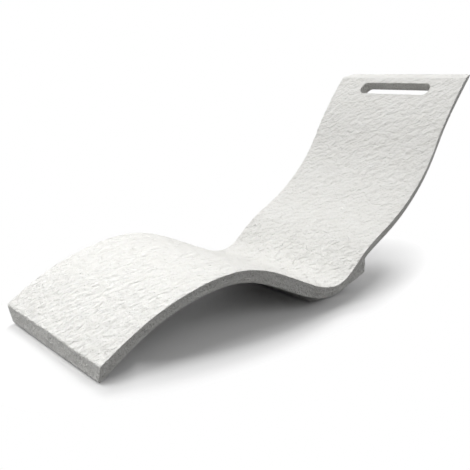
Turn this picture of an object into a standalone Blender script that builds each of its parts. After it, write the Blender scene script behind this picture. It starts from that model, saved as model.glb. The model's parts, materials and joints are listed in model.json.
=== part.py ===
"""Sun lounger: a wave of stone-effect laminate that stands on its foot end and on one hollow rear support.

Metres, +Z up, +X from the foot end towards the head. The long pieces are shaped in a flat layup, where x
runs along the lying surface, y across it and -z down through the thickness. All of them are then bent to
the same wave, so the gaps between them stay as they were.
"""

import math

import bmesh
import bpy
import numpy as np
from mathutils import Euler

# Lying surface, from the foot edge to the head edge
RUN = 1.707
RISE = 0.749
WIDTH = 0.650
WAVE_SHARES = (
    (0, 0),
    (0.063, 0.088),
    (0.205, 0.209),
    (0.303, 0.227),
    (0.463, 0.100),
    (0.580, 0.043),
    (0.648, 0.160),
    (0.732, 0.277),
    (0.876, 0.583),
    (0.915, 0.738),
    (1, 1),
)

# Section of the body
THICKNESS = 0.050
FOOT_THICKNESS = 0.0584
FOOT_TAPER = 0.250
SIDE_DRAFT = 0.026
FOOT_CUT = math.radians(29.9)
HEAD_CUT = math.radians(54.3)
SIDE_EDGE_SETBACK = 0.0045
SOLE_EDGE_RADIUS = 0.0048
END_EDGE_RADIUS = 0.007
LIP_RADIUS = 0.0105

# Laminates
SHELL_WALL = 0.006
HEAD_WALL = 0.015
PAN_WALL = 0.005
PAN_FLANGE = 0.020
CLEARANCE = 0.0003

# Foam core, in three blocks that meet this far ahead of and behind the bolt plates
CORE_JOINT_MARGIN = 0.120

# Grip slot near the head
SLOT_LENGTH = 0.360
SLOT_HEIGHT = 0.057
SLOT_FROM_HEAD = 0.031
SLEEVE_WALL = 0.004

# Rear support, with its front, heel and rear as shares of the run
SUPPORT_SHARES = (0.545, 0.630, 0.728)
SUPPORT_REAR_HEIGHT = 0.064
SUPPORT_MARGIN = 0.095
SUPPORT_WALL = 0.006
SUPPORT_CORNER = 0.010

# Bolts that hold the support to plates in the core
BOLT_RADIUS = 0.004
BOLT_LENGTH = 0.025
BOLT_HEAD_RADIUS = 0.0065
BOLT_HEAD_HEIGHT = 0.005
BOLT_SPACING = 0.200
BOLT_ROW_SHARES = (0.24, 0.80)
WASHER_RADIUS = 0.011
WASHER_THICKNESS = 0.0016
WASHER_SEAT_DEPTH = 0.0012
PLATE_WIDTH = 0.040
PLATE_LENGTH = 0.280
PLATE_THICKNESS = 0.008

# Rubber pads under the support, each held by a screw into a post
PAD_RADIUS = 0.020
PAD_THICKNESS = 0.006
PAD_CHAMFER = 0.001
PAD_INSET = 0.036
POST_RADIUS = 0.009
SCREW_RADIUS = 0.0025
SCREW_HEAD_RADIUS = 0.005
SCREW_HEAD_HEIGHT = 0.0022
SCREW_HEAD_LIFT = 0.0010
PAD_SCREW_LENGTH = 0.022

# Rubber wedge under the foot end, screwed to a batten in the core
FOOT_LIFT = 0.0013
WEDGE_SETBACK = 0.008
WEDGE_DEPTH = 0.030
WEDGE_MARGIN = 0.039
BATTEN_WIDTH = 0.045
BATTEN_MARGIN = 0.040
BATTEN_THICKNESS = 0.014
WEDGE_SCREW_SHARES = (-0.77, 0, 0.77)
WEDGE_SCREW_LENGTH = 0.032

# Breather plug in the pan, with its seal
BREATHER_FROM_HEAD = 0.300
BREATHER_RADIUS = 0.011
BREATHER_HEIGHT = 0.003
BREATHER_STEM_RADIUS = 0.006
BREATHER_STEM_LENGTH = 0.012
SEAL_RADIUS = 0.0095
SEAL_THICKNESS = 0.0015

# Fineness of the bent and round shapes
STATIONS = 52
TURN_LENGTH = 0.400
CURVE_SAMPLES = 2001
EDGE_SEGMENTS = 3
CORNER_SEGMENTS = 6
SLOT_STEPS = 20
ROUND_STEPS = 16
SHARP_ANGLE = math.radians(32)
CUT_OVERRUN = 0.010
MERGE_DISTANCE = 0.000001

STONE = ("stone_laminate", (0.80, 0.79, 0.765), 0.75, 0.0)
PALE_LAMINATE = ("back_laminate", (0.74, 0.735, 0.71), 0.70, 0.0)
FOAM = ("core_foam", (0.82, 0.73, 0.48), 0.90, 0.0)
RUBBER = ("foot_rubber", (0.035, 0.035, 0.037), 0.80, 0.0)
STEEL = ("stainless_steel", (0.62, 0.62, 0.63), 0.32, 1.0)
BLACK_PLASTIC = ("black_plastic", (0.03, 0.03, 0.032), 0.45, 0.0)
GREY_PLASTIC = ("grey_plastic", (0.30, 0.30, 0.31), 0.55, 0.0)


# Scene, objects and materials


def clear_scene():
    for obj in list(bpy.data.objects):
        bpy.data.objects.remove(obj, do_unlink=True)


def new_collection(name):
    collection = bpy.data.collections.new(name)
    bpy.context.scene.collection.children.link(collection)
    return collection


clear_scene()
parts = new_collection("sun_lounger")
cutters = new_collection("cutters")
cutters.hide_render = True
root = bpy.data.objects.new("lounger", None)
parts.objects.link(root)


def material(finish):
    name, color, roughness, metallic = finish
    found = bpy.data.materials.get(name)
    if found:
        return found
    made = bpy.data.materials.new(name)
    made.use_nodes = True
    shader = made.node_tree.nodes["Principled BSDF"]
    shader.inputs["Base Color"].default_value = (*color, 1)
    shader.inputs["Roughness"].default_value = roughness
    shader.inputs["Metallic"].default_value = metallic
    made.diffuse_color = (*color, 1)
    return made


def add_object(name, bm, finish=None):
    """A new object from a bmesh: a part where it has a finish, and otherwise a cutter."""
    mesh = bpy.data.meshes.new(name)
    bm.to_mesh(mesh)
    bm.free()
    obj = bpy.data.objects.new(name, mesh)
    obj.parent = root
    if finish:
        mesh.materials.append(material(finish))
        parts.objects.link(obj)
    else:
        cutters.objects.link(obj)
        obj.hide_render = True
        obj.display_type = "WIRE"
    return obj


def combine(obj, other, operation="DIFFERENCE"):
    boolean = obj.modifiers.new(other.name, "BOOLEAN")
    boolean.operation = operation
    boolean.solver = "EXACT"
    boolean.object = other


def solidify(obj, thickness, offset):
    wall = obj.modifiers.new("wall", "SOLIDIFY")
    wall.thickness = thickness
    wall.offset = offset
    wall.use_even_offset = True


def bake(obj, used=()):
    """Turns the object's modifiers into its mesh, and removes the cutters that they used."""
    graph = bpy.context.evaluated_depsgraph_get()
    mesh = bpy.data.meshes.new_from_object(obj.evaluated_get(graph))
    obj.modifiers.clear()
    obj.data = mesh
    for cutter in used:
        bpy.data.objects.remove(cutter)


def shade_round(obj):
    obj.data.shade_smooth()
    obj.data.set_sharp_from_angle(angle=SHARP_ANGLE)


# The wave and its stations


def length_along(points):
    return np.concatenate([[0], np.cumsum(np.hypot(*np.diff(points, axis=0).T))])


def natural_spline(places, values, at):
    """The natural cubic spline through values at places, read at the numbers in at."""
    gaps = np.diff(places)
    last = len(places) - 1
    matrix = np.eye(last + 1)
    right = np.zeros((last + 1, 2))
    for i in range(1, last):
        matrix[i, i - 1 : i + 2] = gaps[i - 1], 2 * (gaps[i - 1] + gaps[i]), gaps[i]
        right[i] = 6 * ((values[i + 1] - values[i]) / gaps[i] - (values[i] - values[i - 1]) / gaps[i - 1])
    bends = np.linalg.solve(matrix, right)
    k = np.clip(np.searchsorted(places, at, side="right") - 1, 0, last - 1)
    before = (at - places[k])[:, None]
    after = (places[k + 1] - at)[:, None]
    gap = gaps[k][:, None]
    curved = (bends[k] * after**3 + bends[k + 1] * before**3) / (6 * gap)
    straight = (values[k] / gap - bends[k] * gap / 6) * after
    return curved + straight + (values[k + 1] / gap - bends[k + 1] * gap / 6) * before


def wave_stations():
    """Arc length, point and downward normal at each station, closer together where the wave turns."""
    knots = np.array(WAVE_SHARES) * (RUN, RISE)
    chords = length_along(knots)
    curve = natural_spline(chords, knots, np.linspace(0, chords[-1], CURVE_SAMPLES))
    arc = length_along(curve)
    tangents = np.gradient(curve, arc, axis=0)
    tangents /= np.linalg.norm(tangents, axis=1)[:, None]
    measure = arc + length_along(tangents) * TURN_LENGTH
    at = np.interp(np.linspace(0, measure[-1], STATIONS + 1), measure, np.arange(CURVE_SAMPLES))
    index = np.rint(at).astype(int)
    down = np.stack([tangents[index, 1], -tangents[index, 0]], axis=1)
    return arc[index], curve[index], down


def depth_factor(s):
    return 1 + (FOOT_THICKNESS / THICKNESS - 1) * max(0, 1 - s / FOOT_TAPER)


station_s, station_point, station_down = wave_stations()
scaled_down = station_down * np.array([depth_factor(s) for s in station_s])[:, None]
surface_length = station_s[-1]
side_lean = math.atan2(SIDE_DRAFT, THICKNESS)
sharp_half_width = WIDTH / 2 + SIDE_EDGE_SETBACK * (1 - math.tan((math.pi / 2 - side_lean) / 2))


def foot_face(depth, inset=0):
    """Place along the layup of the foot end face, or of a face that lies inset inside it."""
    return inset / math.cos(FOOT_CUT) - depth * math.tan(FOOT_CUT)


def head_face(depth):
    return surface_length + depth * math.tan(HEAD_CUT)


def side_face(depth, inset=0):
    """Half the width at a depth, or that of a face that lies inset inside the leaning side."""
    return sharp_half_width - depth * math.tan(side_lean) - inset / math.cos(side_lean)


def facet(s):
    """Number of the stretch between stations that holds a place along the layup."""
    return int(np.clip(np.searchsorted(station_s, s, side="right") - 1, 0, STATIONS - 1))


def bent_point(s, depth):
    """(x, z) of a place in the layup once it is bent. Beyond either end the layup runs on straight."""
    if s < 0 or s > surface_length:
        end = 0 if s < 0 else STATIONS
        along = np.array([-station_down[end, 1], station_down[end, 0]])
        return station_point[end] + along * (s - station_s[end]) + scaled_down[end] * depth
    i = facet(s)
    share = (s - station_s[i]) / (station_s[i + 1] - station_s[i])
    rows = station_point[i : i + 2] + scaled_down[i : i + 2] * depth
    return rows[0] * (1 - share) + rows[1] * share


station_point[:, 1] += FOOT_LIFT - bent_point(foot_face(THICKNESS), THICKNESS)[1]


def bend(obj):
    """Cuts a flat piece at each station and bends it to the wave."""
    bm = bmesh.new()
    bm.from_mesh(obj.data)
    places = [vert.co.x for vert in bm.verts]
    for s in station_s:
        if min(places) < s < max(places):
            everything = bm.verts[:] + bm.edges[:] + bm.faces[:]
            bmesh.ops.bisect_plane(
                bm, geom=everything, dist=MERGE_DISTANCE, plane_co=(s, 0, 0), plane_no=(1, 0, 0)
            )
    for vert in bm.verts:
        x, z = bent_point(vert.co.x, -vert.co.z)
        vert.co = (x, vert.co.y, z)
    bm.normal_update()
    bm.to_mesh(obj.data)
    bm.free()
    shade_round(obj)


def under_line(front, rear, gap):
    """Points (x, z) of the body's underside from x = front to x = rear, lowered by a gap."""
    depth = THICKNESS + gap
    places = [foot_face(depth), *station_s, head_face(depth)]
    line = np.array([bent_point(s, depth) for s in places])
    inner = [(x, z) for x, z in line if front < x < rear]
    ends = [(x, float(np.interp(x, line[:, 0], line[:, 1]))) for x in (front, rear)]
    return [ends[0], *inner, ends[1]]


def under_height(x):
    return under_line(x, x, 0)[0][1]


def place_above(x):
    """Place along the layup whose underside lies at x."""
    line = [bent_point(s, THICKNESS)[0] for s in station_s]
    return float(np.interp(x, line, station_s))


def seat_on(obj, s, y, drop=0):
    """Hangs an object under the body by a drop, with its own +Z square to the underside and pointing in."""
    i = facet(s)
    depth = THICKNESS + drop
    rear = bent_point(station_s[i + 1], depth)
    front = bent_point(station_s[i], depth)
    x, z = bent_point(s, depth)
    obj.location = (x, y, z)
    obj.rotation_euler = Euler((0, -math.atan2(rear[1] - front[1], rear[0] - front[0]), 0))


# Shapes


def fixed(place):
    return lambda depth: place


def foot_wall(inset):
    return lambda depth: foot_face(depth, inset)


def side_wall(inset):
    return lambda depth: side_face(depth, inset)


def block(start, end, half, top, bottom):
    """A block of the layup between two depths. Its start, end and half width are rules of the depth."""
    bm = bmesh.new()
    bmesh.ops.create_cube(bm, size=1)
    for vert in bm.verts:
        depth = top if vert.co.z > 0 else bottom
        place = end(depth) if vert.co.x > 0 else start(depth)
        vert.co = (place, math.copysign(half(depth), vert.co.y), -depth)
    bm.normal_update()
    return bm


def round_off(bm, corners, setback, segments, kind="EDGES"):
    """Rounds edges, or the corner points of an outline, from a setback on either side of them."""
    bmesh.ops.bevel(bm, geom=corners, offset=setback, segments=segments, profile=0.5, affect=kind)


def draw_out(bm, along):
    """Sweeps a flat outline into a closed solid."""
    swept = bmesh.ops.extrude_face_region(bm, geom=bm.faces[:])["geom"]
    moved = [item for item in swept if isinstance(item, bmesh.types.BMVert)]
    bmesh.ops.translate(bm, verts=moved, vec=along)
    bmesh.ops.recalc_face_normals(bm, faces=bm.faces)


def stadium(margin, top, bottom):
    """The grip slot's round-ended outline, grown by a margin, between two depths of the layup."""
    center = surface_length - SLOT_FROM_HEAD - SLOT_HEIGHT / 2
    straight = (SLOT_LENGTH - SLOT_HEIGHT) / 2
    radius = SLOT_HEIGHT / 2 + margin
    turns = np.linspace(0, math.pi, SLOT_STEPS // 2 + 1)
    half = [(radius * math.cos(turn), straight + radius * math.sin(turn)) for turn in turns]
    outline = half + [(-x, -y) for x, y in half]
    bm = bmesh.new()
    bm.faces.new([bm.verts.new((center + x, y, -bottom)) for x, y in outline])
    draw_out(bm, (0, 0, bottom - top))
    return bm


def slot_cutter(name):
    return add_object(name, stadium(SLEEVE_WALL + CLEARANCE, -CUT_OVERRUN, THICKNESS + CUT_OVERRUN))


def prism(outline, half_width, radii=()):
    """An outline of (x, z) points, its corners rounded to the radii, drawn out to both sides."""
    bm = bmesh.new()
    verts = [bm.verts.new((x, -half_width, z)) for x, z in outline]
    bm.faces.new(verts)
    for vert, radius in zip(verts, radii):
        setback = radius * math.tan(vert.calc_edge_angle() / 2)
        round_off(bm, [vert], setback, CORNER_SEGMENTS, "VERTICES")
    draw_out(bm, (0, 2 * half_width, 0))
    return bm


def rods(name, places, radius, low, highs):
    """A cutter of upright rods at (x, y) places, from one low z up to each rod's own high z."""
    bm = bmesh.new()
    for (x, y), high in zip(places, highs):
        rod = bmesh.ops.create_cone(
            bm, cap_ends=True, segments=ROUND_STEPS, radius1=radius, radius2=radius, depth=high - low
        )
        bmesh.ops.translate(bm, verts=rod["verts"], vec=(x, y, (high + low) / 2))
    return add_object(name, bm)


def leaning_rod(name, radius, low, high, s, y):
    """A cutter rod square to the underside, which lies at its own zero height."""
    bm = bmesh.new()
    bmesh.ops.create_cone(
        bm, cap_ends=True, segments=ROUND_STEPS, radius1=radius, radius2=radius, depth=high - low
    )
    bmesh.ops.translate(bm, verts=bm.verts, vec=(0, 0, (high + low) / 2))
    cutter = add_object(name, bm)
    seat_on(cutter, s, y)
    return cutter


def turned(name, profile, finish, closed=False):
    """A turned piece: the profile's (radius, z) points run down its outer side."""
    bm = bmesh.new()
    verts = [bm.verts.new((radius, 0, z)) for radius, z in profile]
    for first, second in zip(verts, verts[1:]):
        bm.edges.new((first, second))
    if closed:
        bm.edges.new((verts[-1], verts[0]))
    obj = add_object(name, bm, finish)
    turn = obj.modifiers.new("turn", "SCREW")
    turn.steps = turn.render_steps = ROUND_STEPS
    turn.use_merge_vertices = True
    turn.merge_threshold = MERGE_DISTANCE
    bake(obj)
    shade_round(obj)
    return obj


def socket_screw(name, head_radius, head_height, radius, length):
    """A screw along +Z whose head hangs below the origin, with a hex socket in it."""
    chamfer = radius / 3
    profile = [
        (0, length),
        (radius - chamfer, length),
        (radius, length - chamfer),
        (radius, 0),
        (head_radius, 0),
        (head_radius, chamfer - head_height),
        (head_radius - chamfer, -head_height),
        (0, -head_height),
    ]
    screw = turned(name, profile, STEEL)
    socket = head_radius / 2
    bm = bmesh.new()
    bmesh.ops.create_cone(bm, cap_ends=True, segments=6, radius1=socket, radius2=socket, depth=head_height)
    bmesh.ops.translate(bm, verts=bm.verts, vec=(0, 0, -head_height))
    cutter = add_object(name + "_socket", bm)
    combine(screw, cutter)
    bake(screw, [cutter])
    shade_round(screw)
    return screw


def copies(obj, count):
    """The object and its copies, which share its mesh, with a number after the name."""
    name = obj.name
    made = [obj] + [obj.copy() for _ in range(count - 1)]
    for number, twin in enumerate(made, 1):
        twin.name = f"{name}_{number}"
        if number > 1:
            parts.objects.link(twin)
    return made


# Places that several pieces share


pan_inset = SHELL_WALL + CLEARANCE
core_inset = pan_inset + PAN_WALL + CLEARANCE
core_top = SHELL_WALL + CLEARANCE
core_bottom = THICKNESS - PAN_WALL - CLEARANCE
pocket_end = surface_length - HEAD_WALL
pan_end = pocket_end - CLEARANCE
support_front, support_heel, support_rear = (RUN * share for share in SUPPORT_SHARES)
support_half = WIDTH / 2 - SUPPORT_MARGIN
support_length = support_rear - support_front
bolt_rows = [place_above(support_front + support_length * share) for share in BOLT_ROW_SHARES]
leg_core_end = bolt_rows[0] - PLATE_WIDTH / 2 - CORE_JOINT_MARGIN
seat_core_end = bolt_rows[-1] + PLATE_WIDTH / 2 + CORE_JOINT_MARGIN
bolt_places = [(s, y) for s in bolt_rows for y in (-BOLT_SPACING / 2, BOLT_SPACING / 2)]
washer_seat_drop = CLEARANCE + SUPPORT_WALL - WASHER_SEAT_DEPTH
washer_drop = washer_seat_drop + CLEARANCE
bolt_drop = washer_drop + WASHER_THICKNESS + CLEARANCE
plate_top = core_bottom - PLATE_THICKNESS

post_x = (support_front + PAD_INSET, support_heel - PAD_INSET)
post_y = support_half - PAD_INSET
post_places = [(x, y) for x in post_x for y in (-post_y, post_y)]
support_low = PAD_THICKNESS + CLEARANCE
support_slope = (SUPPORT_REAR_HEIGHT - support_low) / (support_rear - support_heel)
screw_seat = SCREW_HEAD_LIFT + SCREW_HEAD_HEIGHT
pad_screw_top = screw_seat + PAD_SCREW_LENGTH + CLEARANCE

wedge_front = bent_point(foot_face(THICKNESS), THICKNESS)[0] + WEDGE_SETBACK
wedge_rear = wedge_front + WEDGE_DEPTH
wedge_half = side_face(THICKNESS) - WEDGE_MARGIN
wedge_places = [((wedge_front + wedge_rear) / 2, wedge_half * share) for share in WEDGE_SCREW_SHARES]
wedge_screw_top = screw_seat + WEDGE_SCREW_LENGTH + CLEARANCE
batten_top = core_bottom - BATTEN_THICKNESS
batten_half = side_face(core_bottom, core_inset) - BATTEN_MARGIN
batten_end = foot_face(THICKNESS, SHELL_WALL) + BATTEN_WIDTH

breather_s = surface_length - BREATHER_FROM_HEAD
seal_drop = CLEARANCE
breather_drop = seal_drop + SEAL_THICKNESS + CLEARANCE


def slope_height(x):
    """Height of the support's sloping underside."""
    return support_low + (x - support_heel) * support_slope


# Cutters that pass through several pieces


bolt_holes = [
    leaning_rod(
        f"bolt_hole_{number}",
        BOLT_RADIUS + CLEARANCE,
        -bolt_drop - CUT_OVERRUN,
        BOLT_LENGTH - bolt_drop + CLEARANCE,
        s,
        y,
    )
    for number, (s, y) in enumerate(bolt_places, 1)
]
pad_screw_holes = rods(
    "pad_screw_holes",
    post_places,
    SCREW_RADIUS + CLEARANCE,
    -CUT_OVERRUN,
    [pad_screw_top] * len(post_places),
)
wedge_screw_holes = rods(
    "wedge_screw_holes",
    wedge_places,
    SCREW_RADIUS + CLEARANCE,
    -CUT_OVERRUN,
    [wedge_screw_top] * len(wedge_places),
)
breather_hole = leaning_rod(
    "breather_hole",
    BREATHER_STEM_RADIUS + CLEARANCE,
    -CUT_OVERRUN,
    BREATHER_STEM_LENGTH - breather_drop + CLEARANCE,
    breather_s,
    0,
)


# Body


def make_seat_shell():
    """The moulding with the lying surface, the sides and both end faces, hollowed from below."""
    ends = [(foot_face, 0), (foot_face, THICKNESS), (head_face, THICKNESS), (head_face, 0)]
    outline = [(face(depth), -depth) for face, depth in ends]
    bm = prism(outline, WIDTH / 2, (END_EDGE_RADIUS, SOLE_EDGE_RADIUS, LIP_RADIUS, END_EDGE_RADIUS))
    for vert in bm.verts:
        vert.co.y = math.copysign(side_face(-vert.co.z), vert.co.y)
    bm.normal_update()
    side_edges = {edge for face in bm.faces if abs(face.normal.y) > 0.5 for edge in face.edges}
    round_off(bm, list(side_edges), SIDE_EDGE_SETBACK, EDGE_SEGMENTS)
    shell = add_object("seat_shell", bm, STONE)
    inner = foot_wall(SHELL_WALL), fixed(pocket_end), side_wall(SHELL_WALL)
    pocket = add_object("shell_pocket", block(*inner, SHELL_WALL, THICKNESS + CUT_OVERRUN))
    slot = slot_cutter("shell_slot")
    combine(shell, pocket)
    combine(shell, slot)
    bake(shell, [pocket, slot])
    bend(shell)
    return shell


def make_pan():
    """The pan that closes the body from below, with a flange up the inside of each side."""
    outer = foot_wall(pan_inset), fixed(pan_end), side_wall(pan_inset)
    pan = add_object("underside_pan", block(*outer, THICKNESS - PAN_FLANGE, THICKNESS), PALE_LAMINATE)
    inner = fixed(-THICKNESS), fixed(surface_length), side_wall(pan_inset + PAN_WALL)
    hollow = add_object("pan_hollow", block(*inner, 0, THICKNESS - PAN_WALL))
    slot = slot_cutter("pan_slot")
    combine(pan, hollow)
    combine(pan, slot)
    bake(pan, [hollow, slot])
    bend(pan)
    for cutter in (*bolt_holes, wedge_screw_holes, breather_hole):
        combine(pan, cutter)


def make_core(name, start, end, pockets, holes):
    """A foam block between two places of the layup, less what lies in it."""
    core = add_object(name, block(start, end, side_wall(core_inset), core_top, core_bottom), FOAM)
    for pocket in pockets:
        combine(core, pocket)
    bake(core, pockets)
    bend(core)
    for cutter in holes:
        combine(core, cutter)


def make_leg_core():
    pocket = block(
        foot_wall(0),
        fixed(batten_end + CLEARANCE),
        fixed(batten_half + CLEARANCE),
        batten_top - CLEARANCE,
        THICKNESS,
    )
    cutter = add_object("batten_pocket", pocket)
    make_core("leg_core", foot_wall(pan_inset), fixed(leg_core_end), [cutter], [])


def make_seat_core():
    pockets = []
    for number, s in enumerate(bolt_rows, 1):
        reach = PLATE_WIDTH / 2 + CLEARANCE
        half = fixed(PLATE_LENGTH / 2 + CLEARANCE)
        pocket = block(fixed(s - reach), fixed(s + reach), half, plate_top - CLEARANCE, THICKNESS)
        pockets.append(add_object(f"plate_pocket_{number}", pocket))
    start = fixed(leg_core_end + CLEARANCE)
    make_core("seat_core", start, fixed(seat_core_end), pockets, bolt_holes)


def make_back_core():
    start, end = fixed(seat_core_end + CLEARANCE), fixed(pan_end - CLEARANCE)
    make_core("back_core", start, end, [slot_cutter("core_slot")], [breather_hole])


def make_grip_sleeve():
    """The liner of the grip slot, flush with both faces of the body."""
    bm = stadium(0, 0, THICKNESS)
    caps = [face for face in bm.faces if abs(face.normal.z) > 0.9]
    bmesh.ops.delete(bm, geom=caps, context="FACES")
    sleeve = add_object("grip_sleeve", bm, STONE)
    solidify(sleeve, SLEEVE_WALL, 1)
    bake(sleeve)
    bend(sleeve)


# Fixings in the core


def make_batten():
    """The bar in the foot end that takes the screws of the rubber wedge."""
    bm = block(foot_wall(pan_inset), fixed(batten_end), fixed(batten_half), batten_top, core_bottom)
    batten = add_object("foot_batten", bm, GREY_PLASTIC)
    bend(batten)
    combine(batten, wedge_screw_holes)


def make_bolt_plates():
    """The two threaded plates in the seat core, one for each row of bolts."""
    for number, s in enumerate(bolt_rows, 1):
        start, end = fixed(s - PLATE_WIDTH / 2), fixed(s + PLATE_WIDTH / 2)
        bm = block(start, end, fixed(PLATE_LENGTH / 2), plate_top, core_bottom)
        plate = add_object(f"bolt_plate_{number}", bm, STEEL)
        bend(plate)
        for cutter, (place, _) in zip(bolt_holes, bolt_places):
            if place == s:
                combine(plate, cutter)


def make_bolts():
    bolt = socket_screw("support_bolt", BOLT_HEAD_RADIUS, BOLT_HEAD_HEIGHT, BOLT_RADIUS, BOLT_LENGTH)
    inner, low = BOLT_RADIUS + CLEARANCE, -WASHER_THICKNESS
    profile = [(inner, 0), (WASHER_RADIUS, 0), (WASHER_RADIUS, low), (inner, low)]
    washer = turned("bolt_washer", profile, STEEL, closed=True)
    count = len(bolt_places)
    for bolt_copy, washer_copy, (s, y) in zip(copies(bolt, count), copies(washer, count), bolt_places):
        seat_on(bolt_copy, s, y, bolt_drop)
        seat_on(washer_copy, s, y, washer_drop)


# Rear support


def support_plan(inset):
    """An upright block inside the support's outer walls, from below the floor to above its roof."""
    front, rear = support_front + inset, support_rear - inset
    half = support_half - inset
    bm = bmesh.new()
    plan = ((front, -half), (rear, -half), (rear, half), (front, half))
    corners = [bm.verts.new((x, y, -CUT_OVERRUN)) for x, y in plan]
    bm.faces.new(corners)
    round_off(bm, corners, SUPPORT_CORNER - inset, EDGE_SEGMENTS, "VERTICES")
    draw_out(bm, (0, 0, max(under_height(x) for x in (front, rear)) + 2 * CUT_OVERRUN))
    return bm


def under_space(name, floor, gap):
    """A cutter as wide as the body, from a line of floor points up to a gap under the body."""
    roof = under_line(floor[0][0], floor[-1][0], gap)
    return add_object(name, prism([*floor, *roof[::-1]], WIDTH / 2))


def make_posts():
    """Screw posts from just above the base up into the support's roof, which later join the support."""
    low = support_low + SUPPORT_WALL + CLEARANCE
    highs = [under_height(x) + CUT_OVERRUN for x in post_x for _ in (-post_y, post_y)]
    posts = rods("support_posts", post_places, POST_RADIUS, low, highs)
    floor = [(support_front, 0), (support_rear, 0)]
    combine(posts, under_space("post_space", floor, CLEARANCE + SUPPORT_WALL / 2), "INTERSECT")
    return posts


def make_rear_support():
    """A hollow moulding, open below, whose roof follows the underside of the body."""
    front, rear = support_front - CUT_OVERRUN, support_rear + CUT_OVERRUN
    floor = [(front, support_low), (support_heel, support_low), (rear, slope_height(rear))]
    deep = -2 * CUT_OVERRUN
    hollow = add_object("support_hollow", support_plan(SUPPORT_WALL))
    deep_floor = [(front, deep), (rear, deep)]
    combine(hollow, under_space("hollow_space", deep_floor, CLEARANCE + SUPPORT_WALL), "INTERSECT")
    support = add_object("rear_support", support_plan(0), STONE)
    combine(support, under_space("support_space", floor, CLEARANCE), "INTERSECT")
    combine(support, hollow)
    combine(support, make_posts(), "UNION")
    combine(support, pad_screw_holes)
    for number, (s, y) in enumerate(bolt_places, 1):
        combine(support, bolt_holes[number - 1])
        radius = WASHER_RADIUS + CLEARANCE
        low = -bolt_drop - CUT_OVERRUN
        combine(support, leaning_rod(f"washer_seat_{number}", radius, low, -washer_seat_drop, s, y))


def make_support_base():
    """The cover that closes the support: flat where the pads sit, then rising to the rear."""
    margin = SUPPORT_WALL + CLEARANCE
    front, rear = support_front + margin, support_rear - margin
    line = [(front, support_low), (support_heel, support_low), (rear, slope_height(rear))]
    half = support_half - margin
    bm = bmesh.new()
    bmesh.ops.create_grid(bm, x_segments=2, y_segments=1, size=1)
    for vert in bm.verts:
        x, z = line[round(vert.co.x) + 1]
        vert.co = (x, math.copysign(half, vert.co.y), z)
    corners = [vert for vert in bm.verts if len(vert.link_edges) == 2]
    round_off(bm, corners, SUPPORT_CORNER - margin, EDGE_SEGMENTS, "VERTICES")
    base = add_object("support_base", bm, PALE_LAMINATE)
    solidify(base, SUPPORT_WALL, 1)
    combine(base, pad_screw_holes)


def make_pads():
    """The pads under the support and their screws."""
    hole = SCREW_RADIUS + CLEARANCE
    recess = SCREW_HEAD_RADIUS + CLEARANCE
    seat = screw_seat + CLEARANCE
    profile = [
        (hole, PAD_THICKNESS),
        (PAD_RADIUS, PAD_THICKNESS),
        (PAD_RADIUS, PAD_CHAMFER),
        (PAD_RADIUS - PAD_CHAMFER, 0),
        (recess, 0),
        (recess, seat),
        (hole, seat),
    ]
    pad = turned("support_pad", profile, RUBBER, closed=True)
    screw = socket_screw("pad_screw", SCREW_HEAD_RADIUS, SCREW_HEAD_HEIGHT, SCREW_RADIUS, PAD_SCREW_LENGTH)
    count = len(post_places)
    for pad_copy, screw_copy, (x, y) in zip(copies(pad, count), copies(screw, count), post_places):
        pad_copy.location = (x, y, 0)
        screw_copy.location = (x, y, screw_seat)


# Foot end


def make_foot_wedge():
    """The rubber wedge that the foot end stands on, and its screws."""
    outline = [(wedge_front, 0), (wedge_rear, 0), *under_line(wedge_front, wedge_rear, CLEARANCE)[::-1]]
    wedge = add_object("foot_wedge", prism(outline, wedge_half), RUBBER)
    combine(wedge, wedge_screw_holes)
    seats = [screw_seat + CLEARANCE] * len(wedge_places)
    recess = SCREW_HEAD_RADIUS + CLEARANCE
    combine(wedge, rods("wedge_screw_recesses", wedge_places, recess, -CUT_OVERRUN, seats))
    screw = socket_screw(
        "wedge_screw", SCREW_HEAD_RADIUS, SCREW_HEAD_HEIGHT, SCREW_RADIUS, WEDGE_SCREW_LENGTH
    )
    for screw_copy, (x, y) in zip(copies(screw, len(wedge_places)), wedge_places):
        screw_copy.location = (x, y, screw_seat)


# Breather


def make_breather():
    """The plug that lets the closed body breathe, and the seal under its flange."""
    chamfer = BREATHER_HEIGHT / 3
    profile = [
        (0, BREATHER_STEM_LENGTH),
        (BREATHER_STEM_RADIUS, BREATHER_STEM_LENGTH),
        (BREATHER_STEM_RADIUS, 0),
        (BREATHER_RADIUS, 0),
        (BREATHER_RADIUS, chamfer - BREATHER_HEIGHT),
        (BREATHER_RADIUS - chamfer, -BREATHER_HEIGHT),
        (0, -BREATHER_HEIGHT),
    ]
    plug = turned("breather_plug", profile, BLACK_PLASTIC)
    seat_on(plug, breather_s, 0, breather_drop)
    inner, low = BREATHER_STEM_RADIUS + CLEARANCE, -SEAL_THICKNESS
    profile = [(inner, 0), (SEAL_RADIUS, 0), (SEAL_RADIUS, low), (inner, low)]
    seal = turned("breather_seal", profile, RUBBER, closed=True)
    seat_on(seal, breather_s, 0, seal_drop)


shell = make_seat_shell()
make_pan()
make_leg_core()
make_seat_core()
make_back_core()
make_grip_sleeve()
make_batten()
make_bolt_plates()
make_bolts()
make_rear_support()
make_support_base()
make_pads()
make_foot_wedge()
make_breather()

# The origin lies on the floor, under the middle of the shell's length
reach = [vert.co.x for vert in shell.data.vertices]
root.location.x = -(min(reach) + max(reach)) / 2
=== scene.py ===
import json
import math

import bmesh
import bpy
import numpy as np
from mathutils import Euler, Matrix, Vector, noise


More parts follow.
